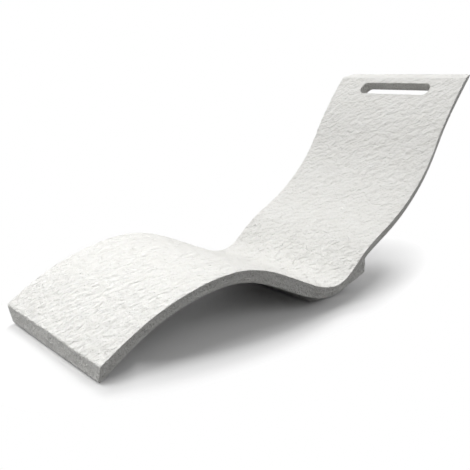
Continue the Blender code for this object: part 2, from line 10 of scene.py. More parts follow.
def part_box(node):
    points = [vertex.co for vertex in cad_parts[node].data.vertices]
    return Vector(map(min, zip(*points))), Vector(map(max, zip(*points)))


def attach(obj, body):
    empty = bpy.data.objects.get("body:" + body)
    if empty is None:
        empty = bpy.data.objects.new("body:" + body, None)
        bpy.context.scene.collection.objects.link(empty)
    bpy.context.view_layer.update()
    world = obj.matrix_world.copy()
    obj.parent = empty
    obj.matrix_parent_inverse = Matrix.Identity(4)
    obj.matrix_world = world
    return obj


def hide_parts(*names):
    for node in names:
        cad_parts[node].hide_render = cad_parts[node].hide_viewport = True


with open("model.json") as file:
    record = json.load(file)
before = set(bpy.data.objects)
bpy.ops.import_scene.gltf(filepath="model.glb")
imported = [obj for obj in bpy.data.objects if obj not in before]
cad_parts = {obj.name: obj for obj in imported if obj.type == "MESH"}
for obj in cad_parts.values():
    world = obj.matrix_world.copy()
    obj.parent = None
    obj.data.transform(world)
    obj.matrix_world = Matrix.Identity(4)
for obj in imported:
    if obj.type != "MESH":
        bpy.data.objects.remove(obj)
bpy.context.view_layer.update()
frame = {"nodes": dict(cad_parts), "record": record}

# The lying surface and the section of the body, as in the CAD source
RUN = 1.707
RISE = 0.749
WIDTH = 0.650
WAVE_SHARES = (
    (0, 0),
    (0.063, 0.088),
    (0.205, 0.209),
    (0.303, 0.227),
    (0.463, 0.100),
    (0.580, 0.043),
    (0.648, 0.160),
    (0.732, 0.277),
    (0.876, 0.583),
    (0.915, 0.738),
    (1, 1),
)
THICKNESS = 0.050
FOOT_THICKNESS = 0.0584
FOOT_TAPER = 0.250
SIDE_DRAFT = 0.026
FOOT_CUT = math.radians(29.9)
HEAD_CUT = math.radians(54.3)
SIDE_EDGE_SETBACK = 0.0045
SOLE_EDGE_RADIUS = 0.0048
END_EDGE_RADIUS = 0.007
LIP_RADIUS = 0.0105
FOOT_LIFT = 0.0013
SHELL_WALL = 0.006
HEAD_WALL = 0.015
PAN_WALL = 0.005
PAN_FLANGE = 0.020
CLEARANCE = 0.0003
CUT_OVERRUN = 0.010

# Grip slot, as in the CAD source
SLOT_LENGTH = 0.360
SLOT_HEIGHT = 0.057
SLOT_FROM_HEAD = 0.031
SLEEVE_WALL = 0.004

# Rear support, its bolts, pads and screws, as in the CAD source
SUPPORT_HEEL_SHARE = 0.630
SUPPORT_REAR_HEIGHT = 0.064
SUPPORT_WALL = 0.006
SUPPORT_CORNER = 0.010
BOLT_RADIUS = 0.004
BOLT_ROW_SHARES = (0.24, 0.80)
BOLT_SPACING = 0.200
POST_RADIUS = 0.009
SCREW_RADIUS = 0.0025
SCREW_HEAD_RADIUS = 0.005
SCREW_SEAT = 0.0035
SCREW_HOLE_TOP = 0.0255
WEDGE_SCREWS = [f"wedge_screw_{number}" for number in (1, 2, 3)]
SUPPORT_PADS = [f"support_pad_{number}" for number in (1, 2, 3, 4)]

# Breather, as in the CAD source
BREATHER_FROM_HEAD = 0.300
BREATHER_RADIUS = 0.011
BREATHER_HEIGHT = 0.003
BREATHER_STEM_RADIUS = 0.006
BREATHER_STEM_LENGTH = 0.012
BREATHER_DROP = 0.0021

# Small edges and grooves that the CAD leaves plain
SLOT_RIM_RADIUS = 0.0018
PAN_EDGE_RADIUS = 0.0010
SUPPORT_EDGE_RADIUS = 0.0028
RUBBER_EDGE_RADIUS = 0.0012
GROOVE_DEPTH = 0.0012
GROOVE_WIDTH = 0.0016
PAD_GROOVE_SHARES = (0.52, 0.76)
WEDGE_GROOVE_SHARES = (0.18, 0.34, 0.66, 0.82)
BREATHER_EDGE_RADIUS = 0.0012
BREATHER_FACE_SHARES = (0.6, 0.3)
BREATHER_NOTCHES = 6
NOTCH_RADIUS = 0.0011

# Fineness of the meshes
CURVE_SAMPLES = 4001
CELL_ALONG = 0.0048
CELL_ACROSS = 0.0050
CELL_DOWN = 0.0045
PAN_CELL = 0.010
EDGE_SEGMENTS = 5
RIM_SEGMENTS = 3
CORNER_SEGMENTS = 8
SLOT_STEPS = 64
TURN_STEPS = 48
WEDGE_STEPS = 8
SHARP_ANGLE = math.radians(40)
MERGE_DISTANCE = 0.000001

# What tells faces apart: parts of their normals, and the share of a wall that is still its skin
FACING = 0.5
SQUARE_ON = 0.9
RIM_DOWN = -0.8
RIM_UPRIGHT = 0.3
PART_WAY = 0.75

# Relief of the stone surface, with its sizes in metres and its heights as shares of its depth
RELIEF = 0.0025
LOWEST = -1.2
LEDGE_SIZE = 0.028
FLAKE_SIZE = 0.014
FLAKE_SHARE = 0.6
GRAIN_SIZE = 0.011
GRAIN_SHARE = 0.22
WARP_SIZE = 0.040
WARP = 0.016
UPRIGHT_SQUASH = 1.35
LEDGES = 4.2
LEDGE_WIDTH = 0.35
SIDE_NORMAL = 0.6
CALM_DEPTHS = (0.65, 0.95)
CALM = 0.25

# Waves in the underside, and how far they stay from its edges
WAVINESS = 0.0003
WAVINESS_SIZE = 0.045
WAVY_MARGIN = 0.020

# Where each noise is read, so that no two line up
WARP_OFFSETS = (3.1, 7.7)
LEDGE_OFFSET = 0.4
FLAKE_OFFSET = 5.9
GRAIN_OFFSET = 9.2
WAVINESS_OFFSET = 1.3

# Bands of a noise value that a pattern spreads over
WHOLE = (0, 1)
BROAD = (0.3, 0.7)
MIDDLE = (0.35, 0.65)
UPPER = (0.45, 0.7)

# Stone: colours, and sizes and depths of its patterns in metres
STONE_PALE = (0.892, 0.884, 0.850)
STONE_PALER = (0.908, 0.901, 0.872)
STONE_BLOTCH_SIZE = 0.090
# Painted shade: the stone is greyed towards this colour in the sunk creases of the relief, most at its
# lowest points
CREASE_SHADE = (0.760, 0.752, 0.715)
CREASE_SHADE_HEIGHTS = (-0.6, -1.1)
CREASE_SHADE_SHARE = 0.3
# Real dark specks of the stone, and painted shade: their far larger share on the sides darkens those sides
SPECK_AND_SIDE_SHADE = (0.50, 0.50, 0.46)
SPECK_SIZE = 0.0075
SPECK_BAND = (0.55, 0.70)
SPECK_AND_SIDE_SHADE_SHARES = (0.04, 0.55)
STONE_ROUGHNESS = (0.66, 0.86)
STONE_SHEEN_SIZE = 0.012

# Bump of the stone. Depths are for the leg, seat, back and sides, or for the top and sides
WRINKLE_STRETCH = (1.5, 1, 1)
LEG_TURN = math.radians(-24)
BACK_TURN = math.radians(-66)
TURN_REACH = (0.98, 1.12)
KNEE_REACH = (0.40, 0.70)
WAIST_REACH = (1.08, 1.32)
TERRACE_SIZE = 0.034
TERRACE_LEVELS = 6
TERRACE_WIDTH = 0.3
TERRACE_DEPTHS = (0.0014, 0.0021, 0.0013, 0.0010)
FOLD_SIZE = 0.0175
FOLD_DEPTHS = (0.0112, 0.0170, 0.0084, 0.0060)
CHIP_SIZE = 0.0095
CHIP_DEPTHS = (0.0001, 0.0085)
SAND_SIZE = 0.0050
SAND_DEPTHS = (0.0016, 0.0040)
PIT_SIZE = 0.0034
PIT_BAND = (0.05, 0.45)
PIT_DEPTH = 0.00016

# Laminate
RESIN_DARK = (0.795, 0.795, 0.785)
RESIN_PALE = (0.835, 0.835, 0.825)
RESIN_SIZE = 0.120
STRAND = (0.70, 0.70, 0.69)
STRAND_TURNS = (0.3, 1.25, 2.2)
STRAND_STRETCH = (14, 1, 1)
STRAND_SIZE = 0.0022
STRAND_BAND = (0.56, 0.68)
STRAND_SHARE = 0.30
STRAND_DEPTH = 0.00012
PEEL_SIZE = 0.0075
PEEL_DEPTH = 0.0007
LAMINATE_ROUGHNESS = (0.50, 0.68)

# Foam
FOAM_FRESH = (0.84, 0.76, 0.52)
FOAM_AGED = (0.76, 0.66, 0.41)
FOAM_AGED_SIZE = 0.060
# Painted shade in the hollows of the cut foam cells
FOAM_CELL_SHADE = (0.62, 0.52, 0.30)
FOAM_CELL_SHADE_BAND = (0.1, 0.5)
FOAM_CELL_SHADE_SHARES = (0, 0.5)
FOAM_CELL = 0.0026
FOAM_CELL_DEPTH = 0.0012
FOAM_CELL_BAND = (0, 0.6)
FOAM_ROUGHNESS = (0.80, 0.95)

# Rubber
RUBBER = (0.026, 0.026, 0.028)
RUBBER_DUST = (0.062, 0.061, 0.058)
DUST_SIZE = 0.018
DUST_BAND = (0.45, 0.75)
RUBBER_ROUGHNESS = (0.70, 0.90)
RUBBER_GRAIN_SIZE = 0.0009
RUBBER_GRAIN_DEPTH = 0.00015

# Steel
STEEL = (0.66, 0.66, 0.67)
STEEL_DULL = (0.52, 0.52, 0.52)
STEEL_DULL_SIZE = 0.008
STEEL_DULL_ROUGHNESS = 0.15
STEEL_ROUGHNESS = (0.18, 0.32)
TURNING_STRETCH = (1, 1, 0.07)
TURNING_SIZE = 0.0050
TURNING_DEPTH = 0.00004

# Moulded plastic and sawn bar
BLACK_PLASTIC = (0.028, 0.028, 0.030)
BLACK_WORN = (0.052, 0.052, 0.053)
BLACK_WORN_SIZE = 0.009
BLACK_GRAIN_SIZE = 0.0006
BLACK_GRAIN_DEPTH = 0.00006
BLACK_ROUGHNESS = (0.38, 0.54)
BAR_DARK = (0.27, 0.27, 0.28)
BAR_PALE = (0.35, 0.35, 0.355)
BAR_FILLER_SIZE = 0.011
SAW_STRETCH = (1, 10, 1)
SAW_SIZE = 0.0020
SAW_DEPTH = 0.0002
BAR_ROUGHNESS = (0.48, 0.66)

# Camera, fitted to the photograph
CAMERA_PLACE = (-0.7705, -1.7956, 0.8354)
CAMERA_YAW = math.radians(49.693)
CAMERA_PITCH = math.radians(13.957)
CAMERA_LENS = 50
CAMERA_SENSOR = 36

# Floor: its shadow shows inside ovals, each with a middle, a reach and a turn in degrees
FLOOR_HALF = 12
FLOOR_BOUNCE = 0.20
SHADE_ZONES = (
    ((0, -0.05), (1.35, 0.48), 10),
    ((-0.84, 0.04), (0.42, 0.57), 0),
)
SHADE_EDGE = (0.55, 0.84)

# Sky: a ring of light, between the heights at which it fades in and out
SKY = 1.15
SKY_START = (0.27, 0.41)
SKY_END = (0.62, 0.80)

# Lamps: name, place, target, size, spread in degrees and watts
LAMPS = (
    ("key", (1.6, 5.0, 7.2), (0, 0, 0), 3, 180, 290),
    ("front", (-3.6, 0, 5.0), (0, 0, 0), 2.5, 180, 97),
    ("leg", (-1.25, 1.3, 2.9), (-0.80, 0, 0.15), 0.8, 38, 0.80),
)


# Wave


def length_along(points):
    return np.concatenate([[0], np.cumsum(np.hypot(*np.diff(points, axis=0).T))])


def natural_spline(places, values, at):
    """The natural cubic spline through values at places, read at the numbers in at."""
    gaps = np.diff(places)
    last = len(places) - 1
    matrix = np.eye(last + 1)
    right = np.zeros((last + 1, 2))
    for i in range(1, last):
        matrix[i, i - 1 : i + 2] = gaps[i - 1], 2 * (gaps[i - 1] + gaps[i]), gaps[i]
        after, before = (values[i + 1] - values[i]) / gaps[i], (values[i] - values[i - 1]) / gaps[i - 1]
        right[i] = 6 * (after - before)
    bends = np.linalg.solve(matrix, right)
    k = np.clip(np.searchsorted(places, at, side="right") - 1, 0, last - 1)
    before = (at - places[k])[:, None]
    after = (places[k + 1] - at)[:, None]
    gap = gaps[k][:, None]
    curved = (bends[k] * after**3 + bends[k + 1] * before**3) / (6 * gap)
    straight = (values[k] / gap - bends[k] * gap / 6) * after
    return curved + straight + (values[k + 1] / gap - bends[k + 1] * gap / 6) * before


knots = np.array(WAVE_SHARES) * (RUN, RISE)
chords = length_along(knots)
curve = natural_spline(chords, knots, np.linspace(0, chords[-1], CURVE_SAMPLES))
arc = length_along(curve)
tangents = np.gradient(curve, arc, axis=0)
tangents /= np.linalg.norm(tangents, axis=1)[:, None]
surface_length = arc[-1]
side_lean = math.atan2(SIDE_DRAFT, THICKNESS)
sharp_half_width = WIDTH / 2 + SIDE_EDGE_SETBACK * (1 - math.tan((math.pi / 2 - side_lean) / 2))
slot_center = surface_length - SLOT_FROM_HEAD - SLOT_HEIGHT / 2
slot_straight = (SLOT_LENGTH - SLOT_HEIGHT) / 2
pan_inset = SHELL_WALL + CLEARANCE
pocket_end = surface_length - HEAD_WALL


def foot_face(depth, inset=0):
    """Place along the layup of the foot end face, or of a face that lies inset inside it."""
    return inset / math.cos(FOOT_CUT) - depth * math.tan(FOOT_CUT)


def head_face(depth):
    return surface_length + depth * math.tan(HEAD_CUT)


def side_face(depth, inset=0):
    """Half the width at a depth, or that of a face that lies inset inside the leaning side."""
    return sharp_half_width - depth * math.tan(side_lean) - inset / math.cos(side_lean)


def slope_at(s):
    """Unit vectors along the lying surface at places in the layup."""
    way = np.stack([np.interp(s, arc, tangents[:, i]) for i in (0, 1)], axis=-1)
    return way / np.linalg.norm(way, axis=-1)[..., None]


def bent(s, depth):
    """(x, z) of places in the layup once they are bent to the wave. Beyond the ends it runs on straight."""
    inside = np.clip(s, 0, surface_length)
    base = np.stack([np.interp(inside, arc, curve[:, i]) for i in (0, 1)], axis=-1)
    way = slope_at(inside)
    down = np.stack([way[..., 1], -way[..., 0]], axis=-1)
    factor = 1 + (FOOT_THICKNESS / THICKNESS - 1) * np.clip(1 - s / FOOT_TAPER, 0, 1)
    return base + way * (s - inside)[..., None] + down * (depth * factor)[..., None]


def bent_point(s, depth):
    return bent(np.array([s]), np.array([depth]))[0]


lift = FOOT_LIFT - bent_point(foot_face(THICKNESS), THICKNESS)[1]


# Mesh helpers


def add_object(name, bm):
    mesh = bpy.data.meshes.new(name)
    bm.to_mesh(mesh)
    bm.free()
    obj = bpy.data.objects.new(name, mesh)
    bpy.context.scene.collection.objects.link(obj)
    return obj


def bake(obj, used=()):
    """Turns the object's modifiers into its mesh, and removes the cutters that they used."""
    graph = bpy.context.evaluated_depsgraph_get()
    mesh = bpy.data.meshes.new_from_object(obj.evaluated_get(graph))
    obj.modifiers.clear()
    obj.data = mesh
    for cutter in used:
        bpy.data.objects.remove(cutter)


def combine(obj, others, operation="DIFFERENCE"):
    for other in others:
        boolean = obj.modifiers.new(other.name, "BOOLEAN")
        boolean.operation = operation
        boolean.solver = "EXACT"
        boolean.object = other
    bake(obj, others)


def open_mesh(obj):
    """The object's mesh, opened for editing."""
    bm = bmesh.new()
    bm.from_mesh(obj.data)
    bm.normal_update()
    return bm


def close_mesh(bm, obj):
    bm.to_mesh(obj.data)
    bm.free()


def shade_round(obj):
    obj.data.shade_smooth()
    obj.data.set_sharp_from_angle(angle=SHARP_ANGLE)


def block(start, end, half, top, bottom):
    """A block of the layup between two depths. Its start, end and half width are rules of the depth."""
    bm = bmesh.new()
    bmesh.ops.create_cube(bm, size=1)
    for vert in bm.verts:
        depth = top if vert.co.z > 0 else bottom
        place = end(depth) if vert.co.x > 0 else start(depth)
        vert.co = (place, math.copysign(half(depth), vert.co.y), -depth)
    bm.normal_update()
    return bm


def fixed(place):
    return lambda depth: place


def foot_wall(inset):
    return lambda depth: foot_face(depth, inset)


def side_wall(inset):
    return lambda depth: side_face(depth, inset)


def round_off(bm, corners, setback, segments, kind="EDGES"):
    bmesh.ops.bevel(bm, geom=corners, offset=setback, segments=segments, profile=0.5, affect=kind)


def draw_out(bm, along):
    """Sweeps a flat outline into a closed solid."""
    swept = bmesh.ops.extrude_face_region(bm, geom=bm.faces[:])["geom"]
    moved = [item for item in swept if isinstance(item, bmesh.types.BMVert)]
    bmesh.ops.translate(bm, verts=moved, vec=along)
    bmesh.ops.recalc_face_normals(bm, faces=bm.faces)


def prism(outline, half_width):
    """An outline of (x, z) points, drawn out to both sides."""
    bm = bmesh.new()
    bm.faces.new([bm.verts.new((x, -half_width, z)) for x, z in outline])
    draw_out(bm, (0, 2 * half_width, 0))
    return bm


def rod(name, radius, x, y, low, high):
    """An upright cutter rod."""
    bm = bmesh.new()
    bmesh.ops.create_cone(
        bm,
        cap_ends=True,
        segments=TURN_STEPS // 2,
        radius1=radius,
        radius2=radius,
        depth=high - low,
    )
    bmesh.ops.translate(bm, verts=bm.verts, vec=(x, y, (high + low) / 2))
    return add_object(name, bm)


def turned(name, profile, closed=False):
    """A turned piece: the profile's (radius, z) points run down its outer side."""
    bm = bmesh.new()
    verts = [bm.verts.new((radius, 0, z)) for radius, z in profile]
    for first, second in zip(verts, verts[1:]):
        bm.edges.new((first, second))
    if closed:
        bm.edges.new((verts[-1], verts[0]))
    obj = add_object(name, bm)
    turn = obj.modifiers.new("turn", "SCREW")
    turn.steps = turn.render_steps = TURN_STEPS
    turn.use_merge_vertices = True
    turn.merge_threshold = MERGE_DISTANCE
    bake(obj)
    return obj


def stadium(margin, top, bottom):
    """The grip slot's round-ended outline, grown by a margin, between two depths of the layup."""
    radius = SLOT_HEIGHT / 2 + margin
    turns = np.linspace(0, math.pi, SLOT_STEPS // 2 + 1)
    half = [(radius * math.cos(turn), slot_straight + radius * math.sin(turn)) for turn in turns]
    outline = half + [(-x, -y) for x, y in half]
    bm = bmesh.new()
    bm.faces.new([bm.verts.new((slot_center + x, y, -bottom)) for x, y in outline])
    draw_out(bm, (0, 0, bottom - top))
    return bm


def slot_cutter():
    margin = SLEEVE_WALL + CLEARANCE
    return add_object("slot_cutter", stadium(margin, -CUT_OVERRUN, THICKNESS + CUT_OVERRUN))


def slot_distance(x, y):
    """Distance of a place in the layup from the middle line of the slot."""
    return np.hypot(x - slot_center, np.maximum(np.abs(y) - slot_straight, 0))


def any_face(face):
    return True


def reaches_past(face, axis, place):
    return max(vert.co[axis] for vert in face.verts) > place + MERGE_DISTANCE


def slice_up(bm, axis, places, wanted):
    """Cuts the faces that wanted picks at planes square to an axis, going up the places in turn."""
    normal = Vector((0, 0, 0))
    normal[axis] = 1
    live = [face for face in bm.faces if wanted(face)]
    for place in places:
        crossing, later = [], []
        for face in live:
            if reaches_past(face, axis, place):
                starts_below = min(vert.co[axis] for vert in face.verts) < place - MERGE_DISTANCE
                (crossing if starts_below else later).append(face)
        live = later
        if not crossing:
            continue
        geom = set(crossing)
        for face in crossing:
            geom.update(face.edges)
            geom.update(face.verts)
        found = bmesh.ops.bisect_plane(
            bm, geom=list(geom), dist=MERGE_DISTANCE, plane_co=normal * place, plane_no=normal
        )
        made = [item for item in found["geom"] if isinstance(item, bmesh.types.BMFace)]
        live += [face for face in made if reaches_past(face, axis, place)]


def slice_grid(obj, steps, wanted):
    """Cuts the wanted faces at steps along x, y and z, the rest along x alone, and marks the skin."""
    bm = open_mesh(obj)
    lows = [min(vert.co[axis] for vert in bm.verts) for axis in range(3)]
    highs = [max(vert.co[axis] for vert in bm.verts) for axis in range(3)]
    for axis in (0, 2, 1):
        count = max(1, round((highs[axis] - lows[axis]) / steps[axis]))
        places = np.linspace(lows[axis], highs[axis], count + 1)[1:-1]
        slice_up(bm, axis, places, wanted if axis else any_face)
    skin = bm.verts.layers.float.new("skin")
    for face in bm.faces:
        if wanted(face):
            for vert in face.verts:
                vert[skin] = 1
    close_mesh(bm, obj)


def read_vectors(mesh, kind):
    found = np.empty(len(mesh.vertices) * 3, np.float32)
    mesh.vertices.foreach_get(kind, found)
    return found.reshape(-1, 3).astype(float)


def read_skin(mesh):
    """True for the points that slice_grid marked."""
    found = np.empty(len(mesh.vertices), np.float32)
    mesh.attributes["skin"].data.foreach_get("value", found)
    return found.astype(bool)


def write_places(mesh, places):
    mesh.vertices.foreach_set("co", places.astype(np.float32).ravel())
    mesh.update()


# Relief


def keep(mesh, name, values):
    """Keeps a number or a vector for every point of the mesh."""
    kind, field = ("FLOAT", "value") if values.ndim == 1 else ("FLOAT_VECTOR", "vector")
    points = mesh.attributes.new(name, kind, "POINT").data
    points.foreach_set(field, values.astype(np.float32).ravel())


def cell_noise(x, y, z, size, offset):
    return noise.noise(Vector((x / size + offset, y / size - offset, z / size + 2 * offset)))


def relief(x, y, z):
    """Height of the stone surface at a place, from 0 for its highest points down to about -1."""
    z = z * UPRIGHT_SQUASH
    u, v = (at + WARP * cell_noise(x, y, z, WARP_SIZE, offset) for at, offset in zip((x, y), WARP_OFFSETS))
    flow = cell_noise(u, v, z, LEDGE_SIZE, LEDGE_OFFSET)
    flow += FLAKE_SHARE * cell_noise(u, v, z, FLAKE_SIZE, FLAKE_OFFSET)
    level = LEDGES * (0.5 + flow / (1 + FLAKE_SHARE))
    step = math.floor(level)
    rise = min(1, (level - step) / LEDGE_WIDTH)
    height = (step + rise * rise * (3 - 2 * rise)) / LEDGES
    grain = cell_noise(x, y, z, GRAIN_SIZE, GRAIN_OFFSET) - 0.5
    return (1 - GRAIN_SHARE) * (height - 1) + GRAIN_SHARE * grain


def stone_heights(mesh, places):
    """The relief at each skin point, kept in the mesh for the material too."""
    heights = np.array([relief(*place) if on else 0 for place, on in zip(places, read_skin(mesh))])
    heights = np.clip(heights, LOWEST, 0)
    keep(mesh, "relief", heights)
    return heights


def bend(obj, amount=0, shift=0):
    """Bends a flat piece to the wave, with its skin sunk by the stone relief, and returns its reach in x."""
    mesh = obj.data
    flat = read_vectors(mesh, "co")
    keep(mesh, "layup", flat)
    plain = bent(flat[:, 0], -flat[:, 2])
    if amount:
        normals = read_vectors(mesh, "normal")
        keep(mesh, "side", np.abs(normals[:, 2]) < SIDE_NORMAL)
        past_sleeve = slot_distance(flat[:, 0], flat[:, 1]) - SLOT_HEIGHT / 2 - SLEEVE_WALL
        at_slot = (past_sleeve > -CLEARANCE) & (past_sleeve < 2 * CLEARANCE)
        normals[at_slot, :2] = 0
        heights = stone_heights(mesh, np.column_stack([plain[:, 0], flat[:, 1], plain[:, 1]]))
        heights *= np.interp(-flat[:, 2] / THICKNESS, CALM_DEPTHS, (1, CALM))
        flat = flat + normals * (heights * amount)[:, None]
    places = bent(flat[:, 0], -flat[:, 2])
    write_places(mesh, np.column_stack([places[:, 0] + shift, flat[:, 1], places[:, 1] + lift]))
    shade_round(obj)
    return plain[:, 0].min(), plain[:, 0].max()


def dress(obj, look, slot, *nodes):
    """Gives a piece its material and its place in the frame."""
    obj.data.materials.clear()
    obj.data.materials.append(look)
    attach(obj, "root")
    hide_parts(*nodes)


# Materials


def new_look(name, roughness, metallic=0):
    """A material with its node tree and shader."""
    made = bpy.data.materials.new(name)
    made.use_nodes = True
    tree = made.node_tree
    shader = tree.nodes["Principled BSDF"]
    shader.inputs["Roughness"].default_value = roughness
    shader.inputs["Metallic"].default_value = metallic
    return made, tree, shader


def object_place(tree):
    return tree.nodes.new("ShaderNodeTexCoord").outputs["Object"]


def kept(tree, name, output):
    """A value that the mesh keeps at its points."""
    node = tree.nodes.new("ShaderNodeAttribute")
    node.attribute_name = name
    return node.outputs[output]


def stretched(tree, place, stretch, turn=0, middle=(0, 0, 0)):
    """A place whose pattern is drawn out along X, Y and Z, turned about Z and moved to a middle."""
    node = tree.nodes.new("ShaderNodeMapping")
    node.vector_type = "TEXTURE"
    node.inputs["Location"].default_value = middle
    node.inputs["Scale"].default_value = stretch
    node.inputs["Rotation"].default_value = (0, 0, turn)
    tree.links.new(place, node.inputs["Vector"])
    return node.outputs["Vector"]


def clouds(tree, place, size, detail=2, distortion=0):
    """Noise from 0 to 1 with features about size metres across."""
    node = tree.nodes.new("ShaderNodeTexNoise")
    node.inputs["Scale"].default_value = 1 / size
    node.inputs["Detail"].default_value = detail
    node.inputs["Distortion"].default_value = distortion
    tree.links.new(place, node.inputs["Vector"])
    return node.outputs["Fac"]


def cells(tree, place, size):
    """Distance from the middles of cells about size metres across."""
    node = tree.nodes.new("ShaderNodeTexVoronoi")
    node.inputs["Scale"].default_value = 1 / size
    tree.links.new(place, node.inputs["Vector"])
    return node.outputs["Distance"]


def graded(tree, value, band, to=WHOLE):
    """The value's stretch over a band, spread over another stretch and held at its ends."""
    node = tree.nodes.new("ShaderNodeMapRange")
    for name, number in zip(("From Min", "From Max", "To Min", "To Max"), (*band, *to)):
        node.inputs[name].default_value = number
    tree.links.new(value, node.inputs["Value"])
    return node.outputs["Result"]


def joined(tree, operation, first, second):
    node = tree.nodes.new("ShaderNodeMath")
    node.operation = operation
    tree.links.new(first, node.inputs[0])
    tree.links.new(second, node.inputs[1])
    return node.outputs[0]


def terraced(tree, value, levels, width):
    """Level treads joined by short slopes, which take a share of each step."""
    level = graded(tree, value, WHOLE, (0, levels))
    parts = []
    for operation in ("FLOOR", "FRACT"):
        node = tree.nodes.new("ShaderNodeMath")
        node.operation = operation
        tree.links.new(level, node.inputs[0])
        parts.append(node.outputs[0])
    return joined(tree, "ADD", parts[0], graded(tree, parts[1], (0, width)))


def feed(tree, target, value):
    """Sets an input to a plain number or colour, or links it to an output."""
    if isinstance(value, bpy.types.NodeSocket):
        tree.links.new(value, target)
    else:
        target.default_value = (*value, 1) if isinstance(value, tuple) else value


def blended(tree, factor, first, second):
    """A number between two by a factor from 0 to 1."""
    node = tree.nodes.new("ShaderNodeMix")
    tree.links.new(factor, node.inputs["Factor"])
    feed(tree, node.inputs["A"], first)
    feed(tree, node.inputs["B"], second)
    return node.outputs["Result"]


def tinted(tree, factor, first, second):
    """A colour between two by a factor from 0 to 1."""
    node = tree.nodes.new("ShaderNodeMix")
    node.data_type = "RGBA"
    tree.links.new(factor, node.inputs["Factor"])
    for socket, color in (("A", first), ("B", second)):
        feed(tree, [item for item in node.inputs if item.name == socket and item.type == "RGBA"][0], color)
    return [item for item in node.outputs if item.type == "RGBA"][0]


def raise_surface(tree, shader, layers):
    """Adds bumps to the shader, from layers of height and of depth in metres."""
    normal = None
    for height, depth in layers:
        node = tree.nodes.new("ShaderNodeBump")
        feed(tree, node.inputs["Distance"], depth)
        tree.links.new(height, node.inputs["Height"])
        if normal:
            tree.links.new(normal, node.inputs["Normal"])
        normal = node.outputs["Normal"]
    tree.links.new(normal, shader.inputs["Normal"])


def paint(tree, shader, color, roughness):
    tree.links.new(color, shader.inputs["Base Color"])
    tree.links.new(roughness, shader.inputs["Roughness"])


def length_share(tree, place, reach):
    """0 up to one length along the lounger from its foot, and 1 from another length on."""
    parts = tree.nodes.new("ShaderNodeSeparateXYZ")
    tree.links.new(place, parts.inputs["Vector"])
    return graded(tree, parts.outputs["X"], reach)


def wrinkled(tree, place, size, distortion):
    """Noise drawn out into wrinkles, which run more along the leg and more across the back."""
    leg, back = (
        clouds(tree, stretched(tree, place, WRINKLE_STRETCH, turn), size, distortion=distortion)
        for turn in (LEG_TURN, BACK_TURN)
    )
    return blended(tree, length_share(tree, place, TURN_REACH), leg, back)


def stone_look():
    """Warm white stone: pale high spots, painted shade that greys its sunk creases, fine dark specks that
    grow far stronger on the sides as painted shade, wrinkles and a sandy grain.
    """
    look, tree, shader = new_look("stone", roughness=0.75)
    place = kept(tree, "layup", "Vector")
    crease_shade_mask = graded(tree, kept(tree, "relief", "Fac"), CREASE_SHADE_HEIGHTS)
    side = kept(tree, "side", "Fac")
    blotches = graded(tree, clouds(tree, place, STONE_BLOTCH_SIZE, detail=3), MIDDLE)
    specks = graded(tree, clouds(tree, place, SPECK_SIZE, distortion=0.8), SPECK_BAND)
    color = tinted(tree, blotches, STONE_PALE, STONE_PALER)
    # Painted shade in the sunk creases of the relief
    color = tinted(tree, graded(tree, crease_shade_mask, WHOLE, (0, CREASE_SHADE_SHARE)), color, CREASE_SHADE)
    # Specks partly real and partly painted shade, which shows them far more on the sides than on the top
    specks_and_side_shade = joined(tree, "MULTIPLY", specks, graded(tree, side, WHOLE, SPECK_AND_SIDE_SHADE_SHARES))
    color = tinted(tree, specks_and_side_shade, color, SPECK_AND_SIDE_SHADE)
    sheen = clouds(tree, place, STONE_SHEEN_SIZE, detail=3)
    paint(tree, shader, color, graded(tree, sheen, BROAD, STONE_ROUGHNESS))
    knee, waist = (length_share(tree, place, reach) for reach in (KNEE_REACH, WAIST_REACH))

    def depth(leg, seat, back, edge):
        top = blended(tree, waist, blended(tree, knee, leg, seat), back)
        return blended(tree, side, top, edge)

    terraces = wrinkled(tree, place, TERRACE_SIZE, distortion=0.4)
    layers = [
        (terraced(tree, terraces, TERRACE_LEVELS, TERRACE_WIDTH), depth(*TERRACE_DEPTHS)),
        (wrinkled(tree, place, FOLD_SIZE, distortion=0.5), depth(*FOLD_DEPTHS)),
        (clouds(tree, place, CHIP_SIZE, distortion=0.7), blended(tree, side, *CHIP_DEPTHS)),
        (clouds(tree, place, SAND_SIZE, detail=4), blended(tree, side, *SAND_DEPTHS)),
        (graded(tree, cells(tree, place, PIT_SIZE), PIT_BAND), PIT_DEPTH),
    ]
    raise_surface(tree, shader, layers)
    return look


def laminate_look(name, place_name=None):
    """Plain laminate: short glass fibres show through its surface, in all directions."""
    look, tree, shader = new_look(name, roughness=0.6)
    place = kept(tree, place_name, "Vector") if place_name else object_place(tree)
    strands = None
    for turn in STRAND_TURNS:
        layer = stretched(tree, place, STRAND_STRETCH, turn)
        layer = graded(tree, clouds(tree, layer, STRAND_SIZE, detail=1, distortion=0.3), STRAND_BAND)
        strands = joined(tree, "MAXIMUM", strands, layer) if strands else layer
    resin = graded(tree, clouds(tree, place, RESIN_SIZE, detail=3), BROAD)
    color = tinted(tree, resin, RESIN_DARK, RESIN_PALE)
    color = tinted(tree, graded(tree, strands, WHOLE, (0, STRAND_SHARE)), color, STRAND)
    paint(tree, shader, color, graded(tree, strands, WHOLE, LAMINATE_ROUGHNESS))
    raise_surface(tree, shader, [(clouds(tree, place, PEEL_SIZE), PEEL_DEPTH), (strands, STRAND_DEPTH)])
    return look


